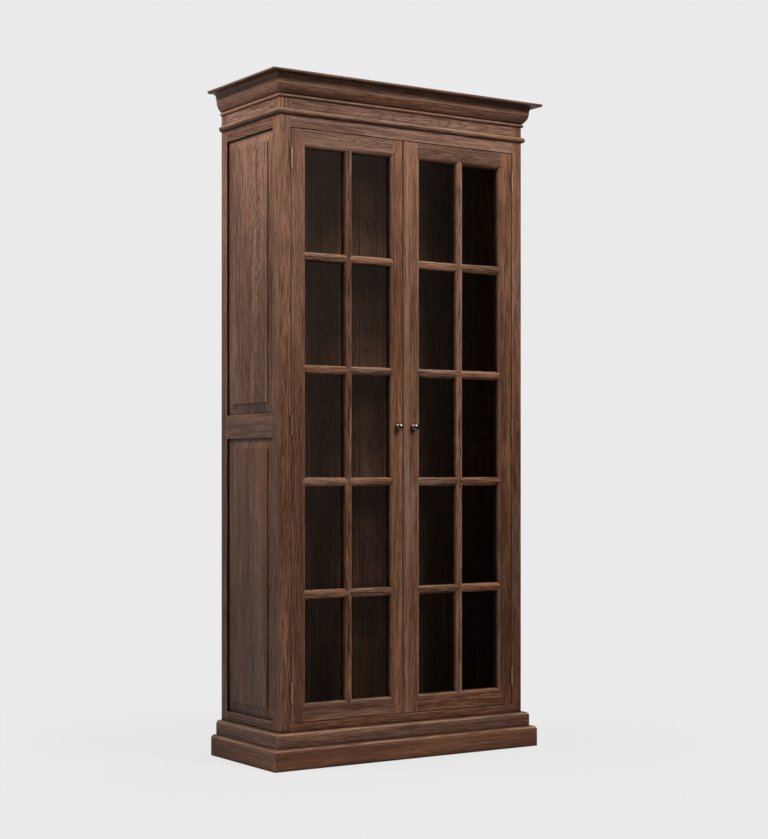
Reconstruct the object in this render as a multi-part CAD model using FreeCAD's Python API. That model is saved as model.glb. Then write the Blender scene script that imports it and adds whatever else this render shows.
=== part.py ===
"""Tall oak bookcase with two inset glazed doors. All sizes are in millimetres.

+X is to the right of someone facing the doors, -Y comes out of the front, +Z is up.
The origin is on the floor, under the middle of the whole piece.
"""
import FreeCAD, Part
import math
import os

Vector = FreeCAD.Vector

# ------------------------------------------------------------------ driving sizes
# Case
overall_height = 2300.0
case_width = 1000.0
case_depth = 404.0
post_width = 42.0            # seen from the front
post_arris = 2.5             # rounding of the front corner
rail_thickness = 22.0
back_rail_thickness = 18.0
side_tenon_length = 24.0
tenon_thickness = 10.0
tenon_gap = 2.0              # wood left between tenons, and between a tenon and a groove
bottom_rail_height = 90.0
sill_show = 29.0             # front bottom rail above the base moulding
side_sill_rise = 5.0         # side bottom rail above the front one
header_show = 39.5           # top rails below the bead
middle_rail_level = 1096.0
middle_rail_height = 80.0

# Base: an inner moulding with an outer plinth board on it
base_moulding_height = 121.0
base_moulding_thickness = 21.0
plinth_height = 72.0
plinth_thickness = 20.0
base_round = 14.0            # radius of both top edges

# Bead, frieze, crown and top board
bead_height = 21.0
bead_projection = 10.0
frieze_height = 34.5         # plain strip between bead and crown
crown_astragal_height = 12.0  # small bead at the foot of the crown
crown_astragal_out = 6.0
crown_quirk = 2.0            # height of the notch between it and the belly
crown_quirk_floor = 1.0      # how far the notch's floor stands out
crown_belly_foot = 3.0
crown_belly_out = 20.0
crown_belly_rise = 35.0
crown_neck_rise = 12.0
crown_neck_step = 1.5        # from the belly out to the foot of the cove
crown_cove_radius = 12.0
top_board_thickness = 10.0
top_board_overhang = 55.0
top_board_round = 4.5

# Raised side panels
panel_setback = 8.5          # tongue behind the face of the frame
panel_tongue = 9.0
panel_tongue_thickness = 6.0
panel_float = 1.0            # room for the tongue at the bottom of its groove
panel_bevel = 38.0
panel_step = 2.5             # small square step round the raised field
panel_field_setback = 0.8

# Back, floor, ceiling and shelves
back_board_count = 9
back_board_thickness = 12.0
back_board_lap = 50.0        # over the back rails
back_groove = 8.0
back_post_reveal = 10.0      # back posts in front of the back boards
board_joint_chamfer = 2.5
board_thickness = 18.0       # floor and ceiling
board_housing = 8.0
housing_bridge = 3.0         # wood left between a panel's groove and a board's housing
shelf_thickness = 8.0        # glass
shelf_gap = 1.0              # shelf to posts and back
shelf_door_gap = 6.0
shelf_post_lap = 12.0        # shelf's front edge between the front posts
shelf_pin_radius = 2.5
shelf_pin_length = 16.0

# Doors
door_gap = 3.0
hinge_stile_width = 57.0
meeting_opening = 61.0       # from the middle of the case to the first pane
door_rail_width = 60.0
pane_rows = 5
pane_columns = 2
moulding_width = 12.0        # ovolo round every pane
moulding_step = 1.2
moulding_ledge = 1.0
moulding_nose = 4.8          # square edge behind the ovolo
glazing_bar_flat = 6.0       # between a bar's two ovolos
glass_thickness = 4.0
stop_thickness = 7.0
rebate_width = 9.0
glass_edge_gap = 1.0
door_tenon_cheek = 7.0       # wood left beyond a tenon's end
door_tenon_thickness = 9.0
door_tenon_shoulder = 9.0
meeting_bead_width = 24.0
meeting_bead_edge = 11.0     # its free edge, left of the middle of the case
meeting_bead_proud = 2.5
meeting_bead_drop = 5.0      # how far the bead's edge lies behind the face

# Knobs
knob_radius = 13.0
knob_rim = 1.5
knob_dome = 9.0
knob_neck_radius = 5.0
knob_neck_flare = 1.0
knob_rose_radius = 9.0
knob_rose_thickness = 2.0
knob_neck_length = 11.0

# Hinges
hinge_length = 58.0
hinge_end_distance = 99.0    # from a door's end to the middle of its hinge
hinge_leaf_margin = 4.0      # from the leaf to the door's back
hinge_leaf_play = 0.2        # between the two closed leaves
knuckle_radius = 3.2
knuckle_count = 5
knuckle_gap = 0.3
barrel_face_gap = 0.3        # barrel in front of the door's face
hinge_pin_radius = 1.6
hinge_pin_play = 0.05
finial_step = 0.5            # collar inside the knuckle's edge
finial_collar_height = 1.2
finial_ball_radius = 2.6

# Magnetic catches
catch_margin = 4.0           # from the catch to the edge of the plain meeting stile
catch_width = 40.0
catch_depth = 16.0
catch_gap = 0.3
catch_plate_width = 36.0
catch_plate_height = 11.0
catch_plate_thickness = 1.5
catch_plate_drop = 1.0       # below the door's top edge

# ------------------------------------------------------------------ places from the sizes
ovolo_radius = moulding_width - moulding_ledge
glass_setback = moulding_step + ovolo_radius + moulding_nose
door_thickness = glass_setback + glass_thickness + stop_thickness
glazing_bar_width = 2 * moulding_width + glazing_bar_flat
panel_groove = panel_tongue + panel_float

half_width = case_width / 2
x_opening = half_width - post_width
x_hinge_edge = x_opening - door_gap
x_pane_far = x_hinge_edge - hinge_stile_width
x_plain_edge = meeting_bead_edge + door_gap

y_back = (case_depth + top_board_overhang) / 2
y_front = y_back - case_depth
y_glass = y_front + glass_setback
y_door_back = y_front + door_thickness
y_shelf_front = y_door_back + shelf_door_gap
y_posts_inner = y_shelf_front + shelf_post_lap
y_boards_back = y_back - back_rail_thickness
y_boards_front = y_boards_back - back_board_thickness
y_back_posts_inner = y_boards_front - back_post_reveal

z_frame_top = overall_height - top_board_thickness
z_neck = z_frame_top - crown_cove_radius
z_belly_top = z_neck - crown_neck_rise
z_belly = z_belly_top - crown_belly_rise
z_astragal = z_belly - crown_quirk
z_crown = z_astragal - crown_astragal_height
z_bead = z_crown - frieze_height - bead_height
z_header = z_bead - header_show
z_sill = base_moulding_height + sill_show
z_side_sill = z_sill + side_sill_rise
z_rail_foot = z_sill - bottom_rail_height
z_middle_top = middle_rail_level + middle_rail_height
z_floor = z_side_sill - panel_groove - housing_bridge
z_ceiling = z_header + panel_groove + housing_bridge

z_door_bottom = z_sill + door_gap
z_door_top = z_header - door_gap
z_door_middle = (z_door_bottom + z_door_top) / 2
z_glass_low = z_door_bottom + door_rail_width
z_glass_high = z_door_top - door_rail_width

pane_height = (z_glass_high - z_glass_low - (pane_rows - 1) * glazing_bar_width) / pane_rows
pane_width = (x_pane_far - meeting_opening - (pane_columns - 1) * glazing_bar_width) / pane_columns
row_spans = [(z_glass_low + i * (pane_height + glazing_bar_width),
              z_glass_low + i * (pane_height + glazing_bar_width) + pane_height)
             for i in range(pane_rows)]
column_spans = [(meeting_opening + i * (pane_width + glazing_bar_width),
                 meeting_opening + i * (pane_width + glazing_bar_width) + pane_width)
                for i in range(pane_columns)]
bar_levels = [span[1] + glazing_bar_width / 2 for span in row_spans[:-1]]

HALF_DIAGONAL = math.sqrt(0.5)
NEAR = 1.0                   # edges closer than this to a line lie on it


# ------------------------------------------------------------------ helpers
def box(x0, x1, y0, y1, z0, z1):
    return Part.makeBox(x1 - x0, y1 - y0, z1 - z0, Vector(x0, y0, z0))


def mirrored(shape):
    """The same piece on the other side of the case."""
    return shape.mirror(Vector(0, 0, 0), Vector(1, 0, 0))


def outline(place, start, *moves):
    """A flat face whose edge goes through 2-D points. A move is one point for a straight
    edge, or a pair (point on the way, end point) for an arc. place makes them 3-D."""
    edges = []
    here = start
    for move in moves:
        if isinstance(move[0], tuple):
            through, end = move
            edges.append(Part.Arc(place(*here), place(*through), place(*end)).toShape())
        else:
            end = move
            edges.append(Part.LineSegment(place(*here), place(*end)).toShape())
        here = end
    edges.append(Part.LineSegment(place(*here), place(*start)).toShape())
    return Part.Face(Part.Wire(edges))


def plate(points, y0, y1):
    """A flat piece in the plane of the front, from (x, z) points."""
    face = outline(lambda x, z: Vector(x, y0, z), *points)
    return face.extrude(Vector(0, y1 - y0, 0))


def quarter(centre, radius, side, rise):
    """The middle of the quarter circle that leaves centre towards side and rise (+1 or -1)."""
    reach = radius * HALF_DIAGONAL
    return (centre[0] + side * reach, centre[1] + rise * reach)


def arc_middle(upright_end, other_end):
    """The middle of the arc between two points that stands upright at the first of them."""
    across = other_end[0] - upright_end[0]
    rise = other_end[1] - upright_end[1]
    radius = (across ** 2 + rise ** 2) / (2 * across)
    half_turn = math.atan2(abs(rise), abs(radius) - abs(across)) / 2
    return (upright_end[0] + radius * (1 - math.cos(half_turn)),
            upright_end[1] + math.copysign(radius * math.sin(half_turn), rise))


def save(name, *solids):
    shape = solids[0] if len(solids) == 1 else Part.makeCompound(list(solids))
    shape.exportStep("parts/%s.step" % name)


# ------------------------------------------------------------------ mouldings round the case
def wrap_moulding(section, reach):
    """The front length and the left length of a moulding, mitred at the front corner.
    section(place) gives its section, measured out from the case and up from the floor."""
    front = section(lambda out, z: Vector(-half_width - reach, y_front - out, z))
    front = front.extrude(Vector(case_width + 2 * reach, 0, 0))
    left = section(lambda out, z: Vector(-half_width - out, y_front - reach, z))
    left = left.extrude(Vector(0, case_depth + reach, 0))
    clear = 2 * reach

    def corner(side, step):
        return (side * (half_width + step), y_front - step)

    def upright_zone(*points):
        face = outline(lambda x, y: Vector(x, y, -clear), *points)
        return face.extrude(Vector(0, 0, overall_height + 2 * clear))

    front_zone = upright_zone(corner(-1, -reach), corner(1, -reach), corner(1, clear), corner(-1, clear))
    left_zone = upright_zone(corner(-1, -reach), corner(-1, clear), (-half_width - clear, y_back + clear),
                             (-half_width + reach, y_back + clear))
    return front.common(front_zone), left.common(left_zone)


def rounded_board_section(inner, thickness, height):
    """An upright board standing on the floor, with its outer top edge rounded."""
    outer = inner + thickness
    radius = min(base_round, thickness)
    centre = (outer - radius, height - radius)
    return lambda place: outline(
        place, (inner, 0), (outer, 0), (outer, height - radius),
        (quarter(centre, radius, 1, 1), (outer - radius, height)), (inner, height))


def bead_section(place):
    middle = (bead_projection, z_bead + bead_height / 2)
    return outline(place, (0, z_bead), (middle, (0, z_bead + bead_height)))


def crown_section(place):
    """Small astragal, notch, convex belly and the cove under the top board's lip."""
    astragal_middle = (crown_astragal_out, z_crown + crown_astragal_height / 2)
    belly_foot = (crown_belly_foot, z_belly)
    belly_top = (crown_belly_out, z_belly_top)
    neck = (crown_belly_out + crown_neck_step, z_neck)
    cove_edge = (neck[0] + crown_cove_radius, z_frame_top)
    return outline(
        place, (0, z_crown),
        (astragal_middle, (crown_quirk_floor, z_astragal)),
        (crown_quirk_floor, z_belly),
        belly_foot,
        (arc_middle(belly_top, belly_foot), belly_top),
        neck,
        (arc_middle(neck, cove_edge), cove_edge),
        (0, z_frame_top))


def make_top_board():
    board = box(-half_width - top_board_overhang, half_width + top_board_overhang,
                y_front - top_board_overhang, y_back, z_frame_top, overall_height)
    free = [edge for edge in board.Edges
            if edge.BoundBox.ZLength < NEAR and edge.BoundBox.YMin < y_back - NEAR]
    return board.makeFillet(top_board_round, free)


# ------------------------------------------------------------------ case frame
def side_rail(z0, z1):
    """A rail of the left side frame. Its tenons clear the panel's groove above and below."""
    x_middle = -half_width + rail_thickness / 2
    shoulder = panel_groove + tenon_gap
    rail = box(-half_width, -half_width + rail_thickness, y_posts_inner, y_back_posts_inner, z0, z1)
    tenon = box(x_middle - tenon_thickness / 2, x_middle + tenon_thickness / 2,
                y_posts_inner - side_tenon_length, y_back_posts_inner + side_tenon_length,
                z0 + shoulder, z1 - shoulder)
    return rail.fuse(tenon).removeSplitter()


def cross_rail(y0, thickness, z0, z1):
    """A rail from the left post to the right post. Its tenons stop short of the side tenons."""
    y_middle = y0 + thickness / 2
    shoulder = panel_groove + tenon_gap
    reach = half_width - (rail_thickness + tenon_thickness) / 2 - tenon_gap
    rail = box(-x_opening, x_opening, y0, y0 + thickness, z0, z1)
    tenon = box(-reach, reach, y_middle - tenon_thickness / 2, y_middle + tenon_thickness / 2,
                z0 + shoulder, z1 - shoulder)
    return rail.fuse(tenon).removeSplitter()


def panel_slab(z0, z1, border):
    """The flat slab that a side panel's tongue fills, or its groove with a wider border."""
    x0 = -half_width + panel_setback
    return box(x0, x0 + panel_tongue_thickness, y_posts_inner - border, y_back_posts_inner + border,
               z0 - border, z1 + border)


def raised_panel(z0, z1):
    """A left side panel: tongue all round, bevel, small step and raised field."""
    x_tongue = -half_width + panel_setback
    x_field = -half_width + panel_field_setback
    x_step = x_field + panel_step

    def ring(x, inset):
        return Part.makePolygon([
            Vector(x, y_posts_inner + inset, z0 + inset),
            Vector(x, y_back_posts_inner - inset, z0 + inset),
            Vector(x, y_back_posts_inner - inset, z1 - inset),
            Vector(x, y_posts_inner + inset, z1 - inset),
            Vector(x, y_posts_inner + inset, z0 + inset)])

    bevel = Part.makeLoft([ring(x_tongue, 0), ring(x_step, panel_bevel)], True, True)
    field = box(x_field, x_step, y_posts_inner + panel_bevel, y_back_posts_inner - panel_bevel,
                z0 + panel_bevel, z1 - panel_bevel)
    return panel_slab(z0, z1, panel_tongue).fuse([bevel, field]).removeSplitter()


def corner_post(y0, y1):
    return box(-half_width, -x_opening, y0, y1, 0, z_frame_top)


def with_arris(post):
    """The front post with its outer front edge rounded."""
    corner = [edge for edge in post.Edges
              if edge.BoundBox.XMax < -half_width + NEAR and edge.BoundBox.YMax < y_front + NEAR
              and edge.BoundBox.ZLength > NEAR]
    return post.makeFillet(post_arris, corner)


def between_posts(board):
    """The board with its corners notched round the four posts."""
    notches = [box(side - post_width, side + post_width, y0, y1, 0, overall_height)
               for side in (-half_width, half_width)
               for y0, y1 in ((y_front, y_posts_inner), (y_back_posts_inner, y_back))]
    return board.cut(notches)


def housed_board(z0):
    """Floor or ceiling: its edges are housed in the side and front rails."""
    reach = half_width - rail_thickness + board_housing
    board = box(-reach, reach, y_front + rail_thickness - board_housing, y_boards_front,
                z0, z0 + board_thickness)
    return between_posts(board)


def back_board(index):
    """One upright board of the back. Its front edges are chamfered, so the joints show as V."""
    pitch = 2 * x_opening / back_board_count
    x0 = -x_opening + index * pitch
    x1 = x0 + pitch
    left_edge = x0 if index > 0 else x0 - back_groove
    right_edge = x1 if index < back_board_count - 1 else x1 + back_groove
    z_low = z_side_sill - back_board_lap
    chamfer = board_joint_chamfer
    section = outline(lambda x, y: Vector(x, y, z_low),
                      (left_edge, y_boards_back), (left_edge, y_boards_front + chamfer),
                      (left_edge + chamfer, y_boards_front), (right_edge - chamfer, y_boards_front),
                      (right_edge, y_boards_front + chamfer), (right_edge, y_boards_back))
    return section.extrude(Vector(0, 0, z_header + back_board_lap - z_low))


def shelf_and_pins(level):
    """A glass shelf between the posts, level with a glazing bar, and the four pins under it."""
    reach = x_opening - shelf_gap
    z0 = level - shelf_thickness / 2
    shelf = box(-reach, reach, y_shelf_front, y_boards_front - shelf_gap, z0, z0 + shelf_thickness)
    pins = [Part.makeCylinder(shelf_pin_radius, shelf_pin_length,
                              Vector(side * (x_opening - shelf_pin_length / 2), y, z0 - shelf_pin_radius),
                              Vector(side, 0, 0))
            for side in (-1, 1)
            for y in (y_posts_inner - shelf_post_lap / 2, y_back_posts_inner + back_post_reveal / 2)]
    return shelf, pins


# ------------------------------------------------------------------ doors, made as the right one
def zigzag(spans, edge, flat):
    """The mitred edge line of a moulded member, past the panes that lie along it."""
    points = []
    for low, high in spans:
        points += [(low - moulding_width, flat), (low, edge), (high, edge), (high + moulding_width, flat)]
    return points


def swapped(points):
    return [(across, along) for along, across in points]


def frame_section(place, width, bead=False):
    """Front part of a stile or rail: ovolo at the pane, flat face, and a bead if it has one."""
    low = moulding_step + ovolo_radius
    middle = quarter((ovolo_radius, low), ovolo_radius, -1, -1)
    start = [(0, glass_setback), (0, low), (middle, (ovolo_radius, moulding_step)),
             (moulding_width, moulding_step), (moulding_width, 0)]
    if bead:
        bead_foot = width - meeting_bead_width
        top = (width - meeting_bead_width / 2, -meeting_bead_proud)
        end = [(bead_foot, 0), (top, (width, meeting_bead_drop)), (width, glass_setback)]
    else:
        end = [(width, 0), (width, glass_setback)]
    return outline(place, *start, *end)


def bar_section(place):
    """Glazing bar: an ovolo on each side of a narrow flat."""
    half = glazing_bar_width / 2
    low = moulding_step + ovolo_radius
    top = half - ovolo_radius
    right = quarter((top, low), ovolo_radius, 1, -1)
    left = quarter((-top, low), ovolo_radius, -1, -1)
    flat = glazing_bar_flat / 2
    return outline(place, (-half, glass_setback), (-half, low), (left, (-top, moulding_step)),
                   (-flat, moulding_step), (-flat, 0), (flat, 0), (flat, moulding_step),
                   (top, moulding_step), (right, (half, low)), (half, glass_setback))


def upright(x_edge, side, width, outer_points, bead=False):
    """The front part of a stile. side is +1 when the wood lies right of the pane."""
    section = frame_section(lambda a, w: Vector(x_edge + side * a, y_front + w, z_door_bottom), width, bead)
    stock = section.extrude(Vector(0, 0, z_door_top - z_door_bottom))
    inner = swapped(zigzag(row_spans, x_edge, x_edge + side * moulding_width))
    return stock.common(plate(inner + outer_points, y_front - door_thickness, y_glass))


def make_stile(x_edge, x_outer, bead=False):
    side = 1 if x_outer > x_edge else -1
    flat = x_edge + side * moulding_width
    outer = [(flat, z_door_top), (x_outer, z_door_top), (x_outer, z_door_bottom), (flat, z_door_bottom)]
    front = upright(x_edge, side, abs(x_outer - x_edge), outer, bead)
    x_rebate = x_edge + side * rebate_width
    back = box(min(x_rebate, x_outer), max(x_rebate, x_outer), y_glass, y_door_back,
               z_door_bottom, z_door_top)
    return front.fuse(back).removeSplitter()


def make_door_rail(z_edge, z_outer):
    """A top or bottom rail, with a tenon at each end."""
    side = 1 if z_outer > z_edge else -1
    x_low = meeting_opening - moulding_width
    x_high = x_pane_far + moulding_width
    section = frame_section(lambda a, w: Vector(x_low, y_front + w, z_edge + side * a), door_rail_width)
    stock = section.extrude(Vector(x_high - x_low, 0, 0))
    edge = zigzag(column_spans, z_edge, z_edge + side * moulding_width)
    front = stock.common(plate(edge + [(x_high, z_outer), (x_low, z_outer)], y_front, y_glass))
    z_rebate = z_edge + side * rebate_width
    back = box(meeting_opening - rebate_width, x_pane_far + rebate_width, y_glass, y_door_back,
               min(z_rebate, z_outer), max(z_rebate, z_outer))
    z_inner = z_edge + side * (moulding_width + door_tenon_shoulder)
    z_far = z_outer - side * door_tenon_shoulder
    tenon = box(x_plain_edge + door_tenon_cheek, x_hinge_edge - door_tenon_cheek,
                y_glass - door_tenon_thickness, y_glass, min(z_inner, z_far), max(z_inner, z_far))
    return front.fuse([back, tenon]).removeSplitter()


def make_glazing_bars():
    """The upright bars, then the short cross bars between them and the stiles."""
    half = glazing_bar_width / 2
    flat = glazing_bar_flat / 2
    z_low = z_glass_low - moulding_width
    z_high = z_glass_high + moulding_width
    bars = []
    for span in column_spans[:-1]:
        x_middle = span[1] + half
        section = bar_section(lambda a, w: Vector(x_middle + a, y_front + w, z_low))
        stock = section.extrude(Vector(0, 0, z_high - z_low))
        left = swapped(zigzag(row_spans, x_middle - half, x_middle - flat))
        right = swapped(zigzag(row_spans, x_middle + half, x_middle + flat))
        bars.append(stock.common(plate(left + right[::-1], y_front, y_glass)))
    for x_low, x_high in column_spans:
        for level in bar_levels:
            section = bar_section(lambda a, w: Vector(x_low - moulding_width, y_front + w, level + a))
            stock = section.extrude(Vector(x_high - x_low + 2 * moulding_width, 0, 0))
            upper = zigzag([(x_low, x_high)], level + half, level + flat)
            lower = zigzag([(x_low, x_high)], level - half, level - flat)
            bars.append(stock.common(plate(upper + lower[::-1], y_front, y_glass)))
    return bars


def make_glass():
    tongue = rebate_width - glass_edge_gap
    return box(meeting_opening - tongue, x_pane_far + tongue, y_glass, y_glass + glass_thickness,
               z_glass_low - tongue, z_glass_high + tongue)


def make_glazing_stops():
    """What holds the glass from behind: four mitred strips, and a strip behind every bar."""
    y0 = y_glass + glass_thickness
    inner = [(meeting_opening, z_glass_low), (x_pane_far, z_glass_low),
             (x_pane_far, z_glass_high), (meeting_opening, z_glass_high)]
    signs = [(-1, -1), (1, -1), (1, 1), (-1, 1)]
    outer = [(x + sx * rebate_width, z + sz * rebate_width) for (x, z), (sx, sz) in zip(inner, signs)]
    stops = []
    for i in range(len(inner)):
        j = (i + 1) % len(inner)
        stops.append(plate([inner[i], inner[j], outer[j], outer[i]], y0, y_door_back))
    half = glazing_bar_width / 2
    for span in column_spans[:-1]:
        stops.append(box(span[1], span[1] + glazing_bar_width, y0, y_door_back, z_glass_low, z_glass_high))
    for x_low, x_high in column_spans:
        for level in bar_levels:
            stops.append(box(x_low, x_high, y0, y_door_back, level - half, level + half))
    return stops


def make_knob():
    """A round rose, a waisted neck and a domed head, turned about an axis out of the door."""
    centre = Vector((x_plain_edge + meeting_opening - moulding_width) / 2, y_front, z_door_middle)
    neck_mid = (knob_neck_radius, (knob_rose_thickness + knob_neck_length) / 2)
    rim_back = knob_neck_length + (knob_radius - knob_neck_radius) / 2
    rim_front = rim_back + knob_rim
    projection = rim_front + knob_dome
    dome_mid = arc_middle((projection, 0), (rim_front, knob_radius))[::-1]
    section = outline(lambda r, out: centre + Vector(r, -out, 0),
                      (0, 0), (knob_rose_radius, 0), (knob_rose_radius, knob_rose_thickness),
                      (neck_mid, (knob_neck_radius + knob_neck_flare, knob_neck_length)),
                      (knob_radius, rim_back), (knob_radius, rim_front), (dome_mid, (0, projection)))
    return section.revolve(centre, Vector(0, 1, 0), 360)


def make_catch():
    """The magnet's housing under the ceiling board, and the steel plate on the door."""
    y_plate = y_door_back + catch_plate_thickness
    z_plate_top = z_door_top - catch_plate_drop
    z_plate = z_plate_top - catch_plate_height
    x_middle = x_plain_edge + catch_margin + catch_width / 2
    housing = box(x_middle - catch_width / 2, x_middle + catch_width / 2,
                  y_plate + catch_gap, y_plate + catch_gap + catch_depth, z_plate, z_ceiling)
    steel = box(x_middle - catch_plate_width / 2, x_middle + catch_plate_width / 2,
                y_door_back, y_plate, z_plate, z_plate_top)
    return housing, steel


# ------------------------------------------------------------------ hinges, made as the right ones
def knuckle(centre, index):
    length = (hinge_length - (knuckle_count - 1) * knuckle_gap) / knuckle_count
    z0 = centre.z - hinge_length / 2 + index * (length + knuckle_gap)
    return z0, length


def hinge_leaf(centre, side, indexes):
    """A leaf flat in the gap beside the door, with its knuckles on the barrel's axis.
    side is +1 for the leaf on the case and -1 for the leaf on the door."""
    near = side * hinge_leaf_play / 2
    far = side * door_gap / 2
    x0 = centre.x + min(near, far)
    x1 = centre.x + max(near, far)
    y_plate = centre.y + knuckle_radius + knuckle_gap
    leaf = box(x0, x1, y_plate, y_door_back - hinge_leaf_margin,
               centre.z - hinge_length / 2, centre.z + hinge_length / 2)
    pieces = []
    for index in indexes:
        z0, length = knuckle(centre, index)
        pieces.append(box(x0, x1, centre.y, y_plate, z0, z0 + length))
        pieces.append(Part.makeCylinder(knuckle_radius, length, Vector(centre.x, centre.y, z0)))
    bore = Part.makeCylinder(hinge_pin_radius + hinge_pin_play, hinge_length,
                             centre - Vector(0, 0, hinge_length / 2))
    return leaf.fuse(pieces).cut(bore).removeSplitter()


def hinge_pin(centre):
    """A pin with a collar and a ball finial at both ends."""
    half = hinge_length / 2
    pin = Part.makeCylinder(hinge_pin_radius, hinge_length, centre - Vector(0, 0, half))
    ball_height = finial_collar_height + finial_ball_radius * HALF_DIAGONAL
    ends = []
    for side in (-1, 1):
        axis = Vector(0, 0, side)
        ends.append(Part.makeCylinder(knuckle_radius - finial_step, finial_collar_height,
                                      centre + axis * half, axis))
        ends.append(Part.makeSphere(finial_ball_radius, centre + axis * (half + ball_height)))
    return pin.fuse(ends).removeSplitter()


# ------------------------------------------------------------------ build
def build_case():
    side_rails = {"top": side_rail(z_header, z_frame_top),
                  "middle": side_rail(middle_rail_level, z_middle_top),
                  "bottom": side_rail(z_rail_foot, z_side_sill)}
    front_rails = {"top": cross_rail(y_front, rail_thickness, z_header, z_frame_top),
                   "bottom": cross_rail(y_front, rail_thickness, z_rail_foot, z_sill)}
    back_rails = {"top": cross_rail(y_boards_back, back_rail_thickness, z_header, z_frame_top),
                  "bottom": cross_rail(y_boards_back, back_rail_thickness, z_rail_foot, z_side_sill)}
    boards = {"floor": housed_board(z_floor - board_thickness), "ceiling": housed_board(z_ceiling)}
    panel_spans = {"lower": (z_side_sill, middle_rail_level), "upper": (z_middle_top, z_header)}
    grooves = [panel_slab(*span, panel_groove) for span in panel_spans.values()]
    backs = [back_board(index) for index in range(back_board_count)]
    shelves = []
    pins = []
    for level in bar_levels:
        shelf, shelf_pins = shelf_and_pins(level)
        shelves.append(shelf)
        pins += shelf_pins

    front_post = with_arris(corner_post(y_front, y_posts_inner))
    back_post = corner_post(y_back_posts_inner, y_back)
    housed = [*side_rails.values(), *grooves, *pins]
    front_post = front_post.cut([*housed, *front_rails.values()])
    back_post = back_post.cut([*housed, *back_rails.values(), backs[0]])
    save("front_left_post", front_post)
    save("front_right_post", mirrored(front_post))
    save("back_left_post", back_post)
    save("back_right_post", mirrored(back_post))

    for name, rail in side_rails.items():
        rail = rail.cut([*grooves, *boards.values()])
        save("left_%s_rail" % name, rail)
        save("right_%s_rail" % name, mirrored(rail))
    for name, rail in front_rails.items():
        save("front_%s_rail" % name, rail.cut(list(boards.values())))
    for name, rail in back_rails.items():
        save("back_%s_rail" % name, rail)
    for name, span in panel_spans.items():
        panel = raised_panel(*span)
        save("left_%s_panel" % name, panel)
        save("right_%s_panel" % name, mirrored(panel))
    for name, board in boards.items():
        save("%s_board" % name, board)
    save("back_boards", *backs)
    save("shelves", *shelves)
    save("shelf_pins", *pins)


def build_mouldings():
    reaches = {"plinth": base_moulding_thickness + plinth_thickness,
               "base_moulding": base_moulding_thickness,
               "bead": bead_projection,
               "crown": crown_belly_out + crown_neck_step + crown_cove_radius}
    sections = {"plinth": rounded_board_section(base_moulding_thickness, plinth_thickness, plinth_height),
                "base_moulding": rounded_board_section(0, base_moulding_thickness, base_moulding_height),
                "bead": bead_section,
                "crown": crown_section}
    for name, section in sections.items():
        front, left = wrap_moulding(section, reaches[name])
        save("%s_front" % name, front)
        save("%s_left" % name, left)
        save("%s_right" % name, mirrored(left))
    save("top_board", make_top_board())


def build_doors():
    bottom_rail = make_door_rail(z_glass_low, z_door_bottom)
    top_rail = make_door_rail(z_glass_high, z_door_top)
    rails = [bottom_rail, top_rail]
    hinge_stile = make_stile(x_pane_far, x_hinge_edge).cut(rails)
    beaded_stile = make_stile(meeting_opening, -meeting_bead_edge, bead=True).cut(rails)
    plain_stile = make_stile(meeting_opening, x_plain_edge).cut(rails)
    steel = make_catch()[1]
    right = {"hinge_stile": [hinge_stile], "meeting_stile": [beaded_stile], "top_rail": [top_rail],
             "bottom_rail": [bottom_rail], "glazing_bars": make_glazing_bars(), "glass": [make_glass()],
             "glazing_stops": make_glazing_stops(), "knob": [make_knob()], "catch_plate": [steel]}
    left = dict(right, meeting_stile=[plain_stile])
    for name, solids in right.items():
        save("right_door_%s" % name, *solids)
    for name, solids in left.items():
        save("left_door_%s" % name, *[mirrored(solid) for solid in solids])


def build_hardware():
    x_axis = x_opening - door_gap / 2
    y_axis = y_front - barrel_face_gap - knuckle_radius
    levels = (z_door_bottom + hinge_end_distance, z_door_middle, z_door_top - hinge_end_distance)
    centres = [Vector(x_axis, y_axis, z) for z in levels]
    case_leaves = [hinge_leaf(centre, 1, range(0, knuckle_count, 2)) for centre in centres]
    door_leaves = [hinge_leaf(centre, -1, range(1, knuckle_count, 2)) for centre in centres]
    pins = [hinge_pin(centre) for centre in centres]
    housing = make_catch()[0]
    save("case_hinge_leaves", *case_leaves, *[mirrored(leaf) for leaf in case_leaves])
    save("hinge_pins", *pins, *[mirrored(pin) for pin in pins])
    save("right_door_hinge_leaves", *door_leaves)
    save("left_door_hinge_leaves", *[mirrored(leaf) for leaf in door_leaves])
    save("magnetic_catches", housing, mirrored(housing))


def main():
    os.makedirs("parts", exist_ok=True)
    build_case()
    build_mouldings()
    build_doors()
    build_hardware()


main()
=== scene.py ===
"""Tall oak bookcase with two glazed doors: its finishes, its dressed boards and a plain studio.

Lengths are in metres. +X is to the right of someone facing the doors, -Y comes out of the front
and +Z is up. The joiner's solids come from the packed frame; every oak board is worked again here
with eased arrises and its own run of grain.
"""
import math
import random

import bmesh
import bpy
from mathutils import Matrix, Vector


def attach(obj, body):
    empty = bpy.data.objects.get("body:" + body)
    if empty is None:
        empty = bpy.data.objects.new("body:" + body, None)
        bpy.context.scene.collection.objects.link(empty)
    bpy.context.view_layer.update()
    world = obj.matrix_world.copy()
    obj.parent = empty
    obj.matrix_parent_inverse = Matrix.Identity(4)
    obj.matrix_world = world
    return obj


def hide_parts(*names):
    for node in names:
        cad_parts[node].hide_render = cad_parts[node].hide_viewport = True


bl_info = {
    "name": "Glazed oak bookcase",
    "version": (1, 0, 0),
    "blender": (4, 5, 0),
    "location": "3D View > Sidebar > Bookcase",
    "description": "Oak, glass and metal finishes for a tall bookcase with two glazed doors",
    "category": "Object",
}

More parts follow.
